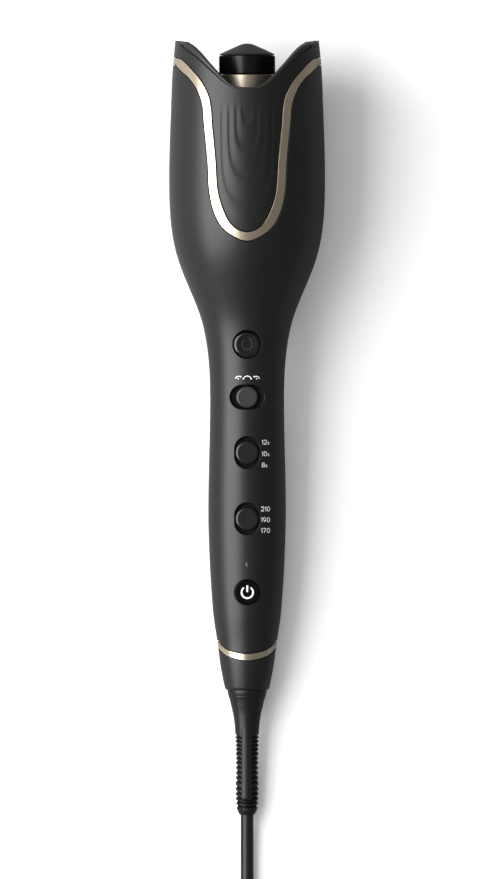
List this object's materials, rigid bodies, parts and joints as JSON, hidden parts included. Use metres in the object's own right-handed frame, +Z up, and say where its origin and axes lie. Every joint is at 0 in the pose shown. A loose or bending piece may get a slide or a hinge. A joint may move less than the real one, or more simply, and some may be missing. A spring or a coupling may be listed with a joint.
{
  "type": "automatic hair curler",
  "caption": "Handheld automatic hair curler with a tulip-shaped chamber round a turning heated barrel, press buttons and sliders on the handle, and a swivel mains cord.",
  "frame": {"origin": "centre of the tool's footprint on the surface that it lies on, cord left out", "axes": "+Z up, +Y from the cord end towards the heated barrel, +X to the right of a person who looks down on the buttons with the barrel pointing away; the tool's own axis is raised 6.2 degrees towards +Y, as it lies on its back"},
  "size_m": [0.1287, 0.5134, 0.079],
  "materials": {
    "soft_touch_black": "soft-touch painted plastic, satin",
    "satin_black": "fine satin moulded plastic",
    "champagne_metal": "champagne anodised, satin gloss",
    "barrel_coating": "smooth metallic ceramic coating",
    "gloss_black": "polished black",
    "button_black": "satin plastic",
    "slider_grey": "satin plastic",
    "rubber_black": "moulded flexible boot",
    "cord_black": "smooth flexible cord jacket",
    "plug_black": "moulded, low gloss",
    "nickel": "nickel plated",
    "steel": "bright",
    "brass_gear": "machined",
    "gear_plastic": "natural moulded",
    "frame_plastic": "moulded",
    "ceramic": "ceramic, matte",
    "board_green": "solder mask",
    "switch_black": "moulded",
    "lamp_clear": "translucent light guide"
  },
  "bodies": {
    "housing": {"front_shell": "soft_touch_black", "rear_shell": "soft_touch_black", "crown_sleeve": "satin_black", "head_trim_ring": "champagne_metal", "chamber_liner": "satin_black", "lower_trim_ring": "champagne_metal", "end_cap": "soft_touch_black", "barrel_bearing": "ceramic", "heater_core": "ceramic", "thermal_fuse": "ceramic", "temperature_sensor": "switch_black", "motor_mount": "frame_plastic", "motor_body": "steel", "inner_chassis": "frame_plastic", "control_board": "board_green", "power_board": "board_green", "filter_capacitor": "switch_black", "curl_spring": "steel", "curl_switch": "switch_black", "power_spring": "steel", "power_switch": "switch_black", "direction_switch": "switch_black", "time_switch": "switch_black", "temperature_switch": "switch_black", "led_window": "lamp_clear", "ready_led": "lamp_clear", "board_screw_1": "steel", "board_screw_2": "steel", "board_screw_3": "steel", "board_screw_4": "steel", "slip_ring_block": "frame_plastic", "cord_lead": "cord_black", "cord_coil": "cord_black", "cord_tail": "cord_black", "plug_body": "plug_black", "plug_pin_left": "nickel", "plug_pin_right": "nickel"},
    "barrel": {"heated_barrel": "barrel_coating", "barrel_tip_collar": "gloss_black", "barrel_tip_cone": "satin_black", "winding_hook": "satin_black", "drive_gear": "gear_plastic"},
    "motor_rotor": {"motor_shaft": "steel", "pinion_gear": "brass_gear"},
    "curl_key": {"curl_button": "button_black", "curl_switch_plunger": "frame_plastic"},
    "power_key": {"power_button": "button_black", "power_switch_plunger": "frame_plastic"},
    "direction_knob": {"direction_slider": "slider_grey", "direction_switch_lever": "frame_plastic"},
    "time_knob": {"time_slider": "slider_grey", "time_switch_lever": "frame_plastic"},
    "temperature_knob": {"temperature_slider": "slider_grey", "temperature_switch_lever": "frame_plastic"},
    "cord_swivel": {"strain_relief": "rubber_black", "swivel_retainer": "frame_plastic", "swivel_contact_disc": "brass_gear"}
  },
  "joints": [
    {"name": "barrel_spin", "type": "hinge", "parent": "housing", "child": "barrel", "pos_m": [0, 0.09365, 0.03565], "axis": [0, 0.9942, 0.108], "continuous": true},
    {"name": "motor_spin", "type": "hinge", "parent": "housing", "child": "motor_rotor", "pos_m": [0, 0.07455, 0.02634], "axis": [0, 0.9942, 0.108], "continuous": true},
    {"name": "curl_press", "type": "slide", "parent": "housing", "child": "curl_key", "axis": [0, 0.108, -0.9942], "range_m": [0, 0.0006], "stiffness_N_per_m": 700, "springref_m": -0.001, "deforming": ["curl_spring"]},
    {"name": "power_press", "type": "slide", "parent": "housing", "child": "power_key", "axis": [0, 0.108, -0.9942], "range_m": [0, 0.0006], "stiffness_N_per_m": 700, "springref_m": -0.001, "deforming": ["power_spring"]},
    {"name": "direction_shift", "type": "slide", "parent": "housing", "child": "direction_knob", "axis": [1, 0, 0], "range_m": [-0.0028, 0.0028]},
    {"name": "time_shift", "type": "slide", "parent": "housing", "child": "time_knob", "axis": [0, 0.9942, 0.108], "range_m": [-0.002, 0.002]},
    {"name": "temperature_shift", "type": "slide", "parent": "housing", "child": "temperature_knob", "axis": [0, 0.9942, 0.108], "range_m": [-0.002, 0.002]},
    {"name": "cord_swivel_turn", "type": "hinge", "parent": "housing", "child": "cord_swivel", "pos_m": [0, -0.12506, 0.0119], "axis": [0, 0.9942, 0.108], "continuous": true}
  ],
  "couplings": [
    {"joint": "motor_spin", "follows": "barrel_spin", "ratio": 3}
  ]
}
